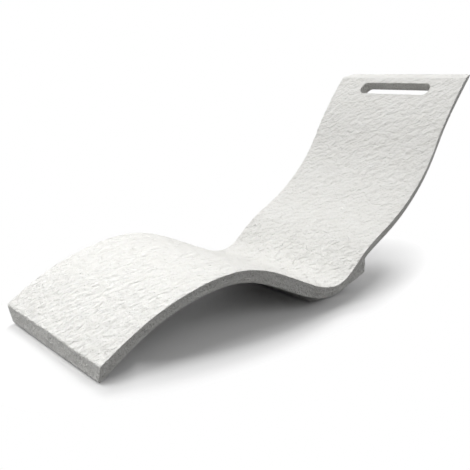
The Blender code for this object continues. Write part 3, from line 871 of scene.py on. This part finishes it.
def foam_look():
    """Closed-cell foam: rounded cells a millimetre or two across, with painted shade, darkest in the hollows
    where they are cut open.
    """
    look, tree, shader = new_look("foam", roughness=0.9)
    place = object_place(tree)
    bubbles = cells(tree, place, FOAM_CELL)
    aged = graded(tree, clouds(tree, place, FOAM_AGED_SIZE, detail=3), BROAD)
    color = tinted(tree, aged, FOAM_FRESH, FOAM_AGED)
    # Painted shade, darkest in the hollows of the cells
    color = tinted(tree, graded(tree, bubbles, FOAM_CELL_SHADE_BAND, FOAM_CELL_SHADE_SHARES), FOAM_CELL_SHADE, color)
    paint(tree, shader, color, graded(tree, bubbles, FOAM_CELL_BAND, FOAM_ROUGHNESS))
    raise_surface(tree, shader, [(bubbles, FOAM_CELL_DEPTH)])
    return look


def rubber_look():
    """Black rubber: a fine grain, and paler dust in patches."""
    look, tree, shader = new_look("rubber", roughness=0.8)
    place = object_place(tree)
    dust = graded(tree, clouds(tree, place, DUST_SIZE, detail=4), DUST_BAND)
    color = tinted(tree, dust, RUBBER, RUBBER_DUST)
    paint(tree, shader, color, graded(tree, dust, WHOLE, RUBBER_ROUGHNESS))
    raise_surface(tree, shader, [(clouds(tree, place, RUBBER_GRAIN_SIZE), RUBBER_GRAIN_DEPTH)])
    return look


def steel_look():
    """Stainless steel with fine turning lines and a few duller patches."""
    look, tree, shader = new_look("steel", roughness=0.32, metallic=1)
    place = object_place(tree)
    lines = clouds(tree, stretched(tree, place, TURNING_STRETCH), TURNING_SIZE)
    dull = graded(tree, clouds(tree, place, STEEL_DULL_SIZE, detail=3), UPPER)
    color = tinted(tree, dull, STEEL, STEEL_DULL)
    turned_rough = graded(tree, lines, BROAD, STEEL_ROUGHNESS)
    dull_rough = graded(tree, dull, WHOLE, (0, STEEL_DULL_ROUGHNESS))
    paint(tree, shader, color, joined(tree, "ADD", turned_rough, dull_rough))
    raise_surface(tree, shader, [(lines, TURNING_DEPTH)])
    return look


def black_plastic_look():
    """Moulded black plastic with a fine spark-eroded grain."""
    look, tree, shader = new_look("black_moulding", roughness=0.45)
    place = object_place(tree)
    grain = clouds(tree, place, BLACK_GRAIN_SIZE)
    worn = graded(tree, clouds(tree, place, BLACK_WORN_SIZE, detail=3), UPPER)
    color = tinted(tree, worn, BLACK_PLASTIC, BLACK_WORN)
    paint(tree, shader, color, graded(tree, grain, BROAD, BLACK_ROUGHNESS))
    raise_surface(tree, shader, [(grain, BLACK_GRAIN_DEPTH)])
    return look


def grey_plastic_look():
    """A sawn grey bar: saw lines across it, and mottled filler."""
    look, tree, shader = new_look("grey_bar", roughness=0.55)
    place = object_place(tree)
    lines = clouds(tree, stretched(tree, place, SAW_STRETCH), SAW_SIZE)
    filler = graded(tree, clouds(tree, place, BAR_FILLER_SIZE, detail=4), MIDDLE)
    color = tinted(tree, filler, BAR_DARK, BAR_PALE)
    paint(tree, shader, color, graded(tree, lines, BROAD, BAR_ROUGHNESS))
    raise_surface(tree, shader, [(lines, SAW_DEPTH)])
    return look


stone = stone_look()
bent_laminate = laminate_look("laminate", "layup")
flat_laminate = laminate_look("cover_laminate")
foam = foam_look()
rubber = rubber_look()
steel = steel_look()
black_plastic = black_plastic_look()
grey_plastic = grey_plastic_look()


# Body


def make_shell():
    """The stone-effect moulding, hollowed from below, on which the skin carries the relief."""
    ends = [(foot_face, 0), (foot_face, THICKNESS), (head_face, THICKNESS), (head_face, 0)]
    bm = bmesh.new()
    verts = [bm.verts.new((face(depth), -WIDTH / 2, -depth)) for face, depth in ends]
    bm.faces.new(verts)
    for vert, radius in zip(verts, (END_EDGE_RADIUS, SOLE_EDGE_RADIUS, LIP_RADIUS, END_EDGE_RADIUS)):
        setback = radius * math.tan(vert.calc_edge_angle() / 2)
        round_off(bm, [vert], setback, CORNER_SEGMENTS, "VERTICES")
    draw_out(bm, (0, WIDTH, 0))
    for vert in bm.verts:
        vert.co.y = math.copysign(side_face(-vert.co.z), vert.co.y)
    bm.normal_update()
    side_edges = {edge for face in bm.faces if abs(face.normal.y) > FACING for edge in face.edges}
    round_off(bm, list(side_edges), SIDE_EDGE_SETBACK, EDGE_SEGMENTS)
    shell = add_object("seat_shell_stone", bm)
    inner = foot_wall(SHELL_WALL), fixed(pocket_end), side_wall(SHELL_WALL)
    pocket = add_object("pocket", block(*inner, SHELL_WALL, THICKNESS + CUT_OVERRUN))
    combine(shell, [pocket, slot_cutter()])
    return shell


def outside_shell(face):
    """True for a face of the shell that shows: not one of the pocket's or of the slot's."""
    center = face.calc_center_median()
    depth = -center.z
    part_way = PART_WAY * SHELL_WALL
    in_pocket = depth > part_way and abs(center.y) < side_face(depth, part_way)
    in_pocket = in_pocket and foot_face(depth, part_way) < center.x < pocket_end + CLEARANCE
    near_slot = slot_distance(center.x, center.y) < SLOT_HEIGHT / 2 + SLEEVE_WALL + 2 * CLEARANCE
    return not in_pocket and not (near_slot and abs(face.normal.z) < FACING)


shell = make_shell()
slice_grid(shell, (CELL_ALONG, CELL_ACROSS, CELL_DOWN), outside_shell)
low_x, high_x = bend(shell, RELIEF)
cad_low, cad_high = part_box("seat_shell")
shift = (cad_low.x + cad_high.x - low_x - high_x) / 2
shell.data.transform(Matrix.Translation((shift, 0, 0)))
dress(shell, stone, "stone_laminate", "seat_shell")


def make_sleeve():
    """The liner of the grip slot, with rounded rims that lie in the same relief as the stone around it."""
    sleeve = add_object("grip_sleeve_stone", stadium(SLEEVE_WALL, 0, THICKNESS))
    combine(sleeve, [add_object("slot", stadium(0, -CUT_OVERRUN, THICKNESS + CUT_OVERRUN))])
    bm = open_mesh(sleeve)
    rim = []
    for edge in bm.edges:
        first, second = edge.verts
        level = abs(first.co.z - second.co.z) < MERGE_DISTANCE
        near = max(slot_distance(vert.co.x, vert.co.y) for vert in edge.verts)
        if level and near < SLOT_HEIGHT / 2 + SLEEVE_WALL / 2:
            rim.append(edge)
    round_off(bm, rim, SLOT_RIM_RADIUS, RIM_SEGMENTS)
    close_mesh(bm, sleeve)
    slice_grid(sleeve, (CELL_ALONG, CELL_ACROSS, CELL_DOWN), any_face)
    bend(sleeve, RELIEF, shift)
    return sleeve


dress(make_sleeve(), stone, "stone_laminate", "grip_sleeve")


def underside_place(x):
    """Place along the layup whose underside lies at x."""
    depths = np.full(CURVE_SAMPLES, THICKNESS)
    return float(np.interp(x - shift, bent(arc, depths)[:, 0], arc))


def underside_line(front, rear, gap):
    """Points (x, z) a gap below the body's underside, from x = front to x = rear."""
    xs = np.linspace(front, rear, round((rear - front) / CELL_ALONG))
    places = np.array([underside_place(x) for x in xs])
    line = bent(places, np.full(len(xs), THICKNESS + gap))
    return [(x + shift, z + lift) for x, z in line]


support_low, support_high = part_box("rear_support")
support_heel = RUN * SUPPORT_HEEL_SHARE + shift
support_length = support_high.x - support_low.x
support_top = support_high.z + CUT_OVERRUN
bolt_rows = [underside_place(support_low.x + support_length * share) for share in BOLT_ROW_SHARES]
bolt_places = [(s, y) for s in bolt_rows for y in (-BOLT_SPACING / 2, BOLT_SPACING / 2)]
breather_s = surface_length - BREATHER_FROM_HEAD


def box_center(node):
    low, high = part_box(node)
    return (low + high) / 2


def screw_hole(node, top, radius=SCREW_RADIUS + CLEARANCE):
    """A cutter up the middle of a node, from below the floor to a height."""
    at = box_center(node)
    return rod("screw_hole", radius, at.x, at.y, -CUT_OVERRUN, top)


def ripple(pan):
    """Makes the flat pan's underside slightly wavy, away from its edges."""
    flat = read_vectors(pan.data, "co")
    from_side = side_face(THICKNESS, pan_inset) - np.abs(flat[:, 1])
    moved = read_skin(pan.data) & (from_side > WAVY_MARGIN)
    moved &= (flat[:, 0] > WAVY_MARGIN) & (flat[:, 0] < pocket_end - WAVY_MARGIN)
    for index in np.flatnonzero(moved):
        x, y, z = flat[index]
        flat[index, 2] += WAVINESS * (0.5 + cell_noise(x, y, z, WAVINESS_SIZE, WAVINESS_OFFSET))
    write_places(pan.data, flat)


def make_pan():
    """The laminate pan below the core: slightly wavy, with eased edges and the holes of its fixings."""
    outer = foot_wall(pan_inset), fixed(pocket_end - CLEARANCE), side_wall(pan_inset)
    bm = block(*outer, THICKNESS - PAN_FLANGE, THICKNESS)
    lowest = -THICKNESS + CLEARANCE
    low_edges = [edge for edge in bm.edges if all(vert.co.z < lowest for vert in edge.verts)]
    round_off(bm, low_edges, PAN_EDGE_RADIUS, RIM_SEGMENTS)
    pan = add_object("underside_pan_laminate", bm)
    inner = fixed(-THICKNESS), fixed(surface_length), side_wall(pan_inset + PAN_WALL)
    cutters = [add_object("hollow", block(*inner, 0, THICKNESS - PAN_WALL)), slot_cutter()]
    low, high = -THICKNESS - CUT_OVERRUN, -THICKNESS + PAN_WALL + CUT_OVERRUN
    for s, y in bolt_places:
        cutters.append(rod("bolt_hole", BOLT_RADIUS + CLEARANCE, s, y, low, high))
    stem_y = box_center("breather_plug").y
    cutters.append(rod("breather_hole", BREATHER_STEM_RADIUS + CLEARANCE, breather_s, stem_y, low, high))
    combine(pan, cutters)
    slice_grid(pan, (PAN_CELL, PAN_CELL, THICKNESS), lambda face: face.normal.z < -SQUARE_ON)
    ripple(pan)
    bend(pan, 0, shift)
    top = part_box("foot_wedge")[1].z + CUT_OVERRUN
    combine(pan, [screw_hole(node, top) for node in WEDGE_SCREWS])
    return pan


dress(make_pan(), bent_laminate, "back_laminate", "underside_pan")


# Rear support


def rounded_plan(name, inset, low, high):
    """An upright block inside the support's outer walls."""
    front, rear, half = support_low.x + inset, support_high.x - inset, support_high.y - inset
    bm = bmesh.new()
    plan = ((front, -half), (rear, -half), (rear, half), (front, half))
    corners = [bm.verts.new((x, y, low)) for x, y in plan]
    bm.faces.new(corners)
    round_off(bm, corners, SUPPORT_CORNER - inset, CORNER_SEGMENTS, "VERTICES")
    draw_out(bm, (0, 0, high - low))
    return add_object(name, bm)


def under_space(name, floor, gap):
    """A cutter as wide as the body, from a line of floor points up to a gap under the body."""
    roof = underside_line(floor[0][0], floor[-1][0], gap)
    return add_object(name, prism([*floor, *roof[::-1]], WIDTH / 2))


def outside_support(face):
    """True for a face of the support's outer walls and bottom rim."""
    center = face.calc_center_median()
    part_way = PART_WAY * SUPPORT_WALL
    across = abs(center.y) > support_high.y - part_way
    along = center.x < support_low.x + part_way or center.x > support_high.x - part_way
    return (across or along) and face.normal.z < FACING


def support_block():
    """The support before it is hollowed, with a rounded bottom rim."""
    low, rise = support_low.z, SUPPORT_REAR_HEIGHT - support_low.z
    slope = rise / (support_high.x - support_heel)
    rear = support_high.x + CUT_OVERRUN
    floor = [
        (support_low.x - CUT_OVERRUN, low),
        (support_heel, low),
        (rear, low + (rear - support_heel) * slope),
    ]
    support = rounded_plan("rear_support_stone", 0, 0, support_top)
    combine(support, [under_space("outer_space", floor, CLEARANCE)], "INTERSECT")
    bm = open_mesh(support)
    rim = []
    for edge in bm.edges:
        tilts = sorted(face.normal.z for face in edge.link_faces)
        if tilts[0] < RIM_DOWN and abs(tilts[1]) < RIM_UPRIGHT:
            rim.append(edge)
    round_off(bm, rim, SUPPORT_EDGE_RADIUS, RIM_SEGMENTS)
    close_mesh(bm, support)
    return support


def support_hollow():
    """A cutter for the room inside the support, which is open below."""
    hollow = rounded_plan("hollow", SUPPORT_WALL, -CUT_OVERRUN, support_top)
    ends = support_low.x - CUT_OVERRUN, support_high.x + CUT_OVERRUN
    floor = [(x, -2 * CUT_OVERRUN) for x in ends]
    combine(hollow, [under_space("inner_space", floor, CLEARANCE + SUPPORT_WALL)], "INTERSECT")
    return hollow


def make_support():
    """The hollow stone block under the seat, with screw posts inside and the holes of its bolts."""
    support = support_block()
    combine(support, [support_hollow()])
    post_low = support_low.z + SUPPORT_WALL + CLEARANCE
    for node in SUPPORT_PADS:
        at = box_center(node)
        roof = underside_line(at.x, at.x + CELL_ALONG * 2, CLEARANCE + SUPPORT_WALL / 2)[0][1]
        combine(support, [rod("post", POST_RADIUS, at.x, at.y, post_low, roof)], "UNION")
        combine(support, [screw_hole(node, SCREW_HOLE_TOP)])
    for s, y in bolt_places:
        combine(support, [leaning_rod(BOLT_RADIUS + CLEARANCE, s, y)])
    slice_grid(support, (CELL_ALONG, CELL_ACROSS, CELL_DOWN), outside_support)
    places = read_vectors(support.data, "co")
    heights = stone_heights(support.data, places)
    keep(support.data, "layup", places)
    keep(support.data, "side", np.ones(len(places)))
    normals = read_vectors(support.data, "normal")
    write_places(support.data, places + normals * (heights * RELIEF)[:, None])
    shade_round(support)
    return support


def seat_on(obj, s, y, drop=0):
    """Hangs an object under the body by a drop, with its own +Z square to the underside and pointing in."""
    x, z = bent_point(s, THICKNESS + drop)
    along = slope_at(np.array([s]))[0]
    obj.location = (x + shift, y, z + lift)
    obj.rotation_euler = Euler((0, -math.atan2(along[1], along[0]), 0))
    bpy.context.view_layer.update()
    obj.data.transform(obj.matrix_world)
    obj.matrix_world = Matrix.Identity(4)


def leaning_rod(radius, s, y):
    """A cutter rod square to the underside, through the support's roof."""
    cutter = rod("leaning_rod", radius, 0, 0, -2 * SUPPORT_WALL, SUPPORT_WALL)
    seat_on(cutter, s, y)
    return cutter


dress(make_support(), stone, "stone_laminate", "rear_support")


# Rubber


def groove(middle, step):
    """The four points of a groove in a bottom face, going towards smaller places where step is -1."""
    half = GROOVE_WIDTH / 2
    return [
        (middle - step * half, 0),
        (middle - step * half / 2, GROOVE_DEPTH),
        (middle + step * half / 2, GROOVE_DEPTH),
        (middle + step * half, 0),
    ]


def eased(x, z, away_x, away_z):
    """Three points that round off the corner at (x, z), from beside it to below or above it."""
    across, up = away_x * RUBBER_EDGE_RADIUS, away_z * RUBBER_EDGE_RADIUS
    turns = (0, math.pi / 4, math.pi / 2)
    return [(x + across * (1 - math.cos(turn)), z + up * (1 - math.sin(turn))) for turn in turns]


def make_pad(node):
    """A turned rubber pad with rounded edges, a recess for its screw and two grooves in its sole."""
    low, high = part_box(node)
    middle = box_center(node)
    radius, top = (high.x - low.x) / 2, high.z - low.z
    hole, recess = SCREW_RADIUS + CLEARANCE, SCREW_HEAD_RADIUS + CLEARANCE
    profile = [(hole, top), *eased(radius, top, -1, -1)[::-1], *eased(radius, 0, -1, 1)]
    for share in PAD_GROOVE_SHARES[::-1]:
        profile += groove(radius * share, -1)
    profile += [(recess, 0), (recess, SCREW_SEAT), (hole, SCREW_SEAT)]
    pad = turned(f"{node}_rubber", profile, closed=True)
    pad.data.transform(Matrix.Translation((middle.x, middle.y, 0)))
    shade_round(pad)
    return pad


for pad_node in SUPPORT_PADS:
    dress(make_pad(pad_node), rubber, "foot_rubber", pad_node)


def make_wedge():
    """The rubber wedge under the foot end, with long grooves in its sole."""
    low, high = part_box("foot_wedge")
    depth = high.x - low.x
    outline = [(low.x, 0)]
    for share in WEDGE_GROOVE_SHARES:
        outline += groove(low.x + depth * share, 1)
    outline.append((high.x, 0))
    reach = np.linspace(foot_face(THICKNESS + CLEARANCE), depth, CURVE_SAMPLES)
    line = bent(reach, np.full(CURVE_SAMPLES, THICKNESS + CLEARANCE))
    xs = np.linspace(low.x, high.x, WEDGE_STEPS + 1)
    roof = [(x, float(np.interp(x - shift, line[:, 0], line[:, 1])) + lift) for x in xs]
    wedge = add_object("foot_wedge_rubber", prism([*outline, *roof[::-1]], high.y))
    bm = open_mesh(wedge)
    ends = [edge for edge in bm.edges if any(abs(face.normal.y) > SQUARE_ON for face in edge.link_faces)]
    long_ends = [edge for edge in ends if edge.calc_length() > GROOVE_WIDTH]
    round_off(bm, long_ends, RUBBER_EDGE_RADIUS / 2, 1)
    close_mesh(bm, wedge)
    cutters = []
    for node in WEDGE_SCREWS:
        cutters.append(screw_hole(node, high.z + CUT_OVERRUN))
        cutters.append(screw_hole(node, SCREW_SEAT, SCREW_HEAD_RADIUS + CLEARANCE))
    combine(wedge, cutters)
    shade_round(wedge)
    return wedge


dress(make_wedge(), rubber, "foot_rubber", "foot_wedge")


# Breather


def make_breather():
    """The breather's cap: a round-edged flange on a stem, with notches in its rim that let air out."""
    radius, height, edge = BREATHER_RADIUS, BREATHER_HEIGHT, BREATHER_EDGE_RADIUS
    turns = np.linspace(0, math.pi / 2, EDGE_SEGMENTS + 1)
    rim = [(radius - edge * (1 - math.cos(turn)), -height + edge * (1 - math.sin(turn))) for turn in turns]
    face = [(radius * share, -height) for share in BREATHER_FACE_SHARES]
    stem, length = BREATHER_STEM_RADIUS, BREATHER_STEM_LENGTH
    profile = [(0, length), (stem, length), (stem, 0), (radius, 0), *rim, *face, (0, -height)]
    cap = turned("breather_plug_cap", profile)
    notches = []
    for number in range(BREATHER_NOTCHES):
        turn = 2 * math.pi * number / BREATHER_NOTCHES
        x, y = radius * math.cos(turn), radius * math.sin(turn)
        notches.append(rod("notch", NOTCH_RADIUS, x, y, -height, -height / 3))
    combine(cap, notches)
    seat_on(cap, breather_s, 0, BREATHER_DROP)
    shade_round(cap)
    return cap


dress(make_breather(), black_plastic, "black_plastic", "breather_plug")


# Carried-over nodes

looks = {
    "core_foam": foam,
    "stainless_steel": steel,
    "foot_rubber": rubber,
    "grey_plastic": grey_plastic,
    "back_laminate": flat_laminate,
}
for subpart in frame["record"]["subparts"]:
    node = frame["nodes"][subpart["node"]]
    if not node.hide_render:
        node.material_slots[0].material = looks[subpart["material_slot"]]


# Camera, at the photograph's viewing angle

camera_data = bpy.data.cameras.new("camera")
camera_data.lens = CAMERA_LENS
camera_data.sensor_width = CAMERA_SENSOR
camera = bpy.data.objects.new("camera", camera_data)
bpy.context.scene.collection.objects.link(camera)
camera.location = Vector(CAMERA_PLACE) + Vector((shift, 0, 0))
camera.rotation_euler = (math.pi / 2 - CAMERA_PITCH, 0, CAMERA_YAW - math.pi / 2)
bpy.context.scene.camera = camera


# Floor, world and lamps


def seen_ray(tree):
    """1 for a ray from the camera, a mirror or glass, and 0 for the rays that only carry light."""
    path = tree.nodes.new("ShaderNodeLightPath")
    value = path.outputs["Is Camera Ray"]
    for other in ("Is Glossy Ray", "Is Transmission Ray"):
        value = joined(tree, "MAXIMUM", value, path.outputs[other])
    return value


def shade(tree, kind, color):
    node = tree.nodes.new(kind)
    node.inputs["Color"].default_value = (color, color, color, 1)
    return node.outputs[0]


def mixed(tree, factor, first, second):
    node = tree.nodes.new("ShaderNodeMixShader")
    tree.links.new(factor, node.inputs[0])
    tree.links.new(first, node.inputs[1])
    tree.links.new(second, node.inputs[2])
    return node.outputs[0]


def outside_zones(tree):
    """0 inside the ovals of floor in which the shadow shows, and 1 outside them."""
    clear = None
    for middle, reach, turn in SHADE_ZONES:
        place = stretched(tree, object_place(tree), (*reach, 1), math.radians(turn), (*middle, 0))
        away = tree.nodes.new("ShaderNodeVectorMath")
        away.operation = "LENGTH"
        tree.links.new(place, away.inputs[0])
        outside = graded(tree, away.outputs["Value"], SHADE_EDGE)
        clear = joined(tree, "MINIMUM", clear, outside) if clear else outside
    return clear


def make_floor():
    """A white floor that shows the shadow near the object and runs out into the white background."""
    bm = bmesh.new()
    bmesh.ops.create_grid(bm, x_segments=1, y_segments=1, size=FLOOR_HALF)
    floor = add_object("floor", bm)
    look = bpy.data.materials.new("floor")
    look.use_nodes = True
    tree = look.node_tree
    tree.nodes.remove(tree.nodes["Principled BSDF"])
    white = shade(tree, "ShaderNodeEmission", 1)
    seen = mixed(tree, outside_zones(tree), shade(tree, "ShaderNodeBsdfDiffuse", 1), white)
    unseen = shade(tree, "ShaderNodeBsdfDiffuse", FLOOR_BOUNCE)
    surface = mixed(tree, seen_ray(tree), unseen, seen)
    tree.links.new(surface, tree.nodes["Material Output"].inputs["Surface"])
    floor.data.materials.append(look)


def make_world():
    """A soft ring of light half-way up, which shows as plain white."""
    world = bpy.data.worlds.new("studio")
    bpy.context.scene.world = world
    world.use_nodes = True
    tree = world.node_tree
    way = tree.nodes.new("ShaderNodeSeparateXYZ")
    tree.links.new(tree.nodes.new("ShaderNodeTexCoord").outputs["Generated"], way.inputs["Vector"])
    start = graded(tree, way.outputs["Z"], SKY_START, (0, SKY))
    end = graded(tree, way.outputs["Z"], SKY_END, (1, 0))
    strength = joined(tree, "MAXIMUM", joined(tree, "MULTIPLY", start, end), seen_ray(tree))
    background = tree.nodes["Background"]
    background.inputs["Color"].default_value = (1, 1, 1, 1)
    tree.links.new(strength, background.inputs["Strength"])


def make_lamp(name, place, target, size, spread, watts):
    """A wide soft lamp that faces its target; the spread is the angle of its beam in degrees."""
    data = bpy.data.lights.new(name, "AREA")
    data.size = size
    data.spread = math.radians(spread)
    data.energy = watts
    lamp = bpy.data.objects.new(name, data)
    bpy.context.scene.collection.objects.link(lamp)
    lamp.location = place
    lamp.rotation_euler = (Vector(target) - Vector(place)).to_track_quat("-Z", "Y").to_euler()


make_floor()
make_world()
for lamp in LAMPS:
    make_lamp(*lamp)
bpy.context.scene.view_settings.view_transform = "Standard"
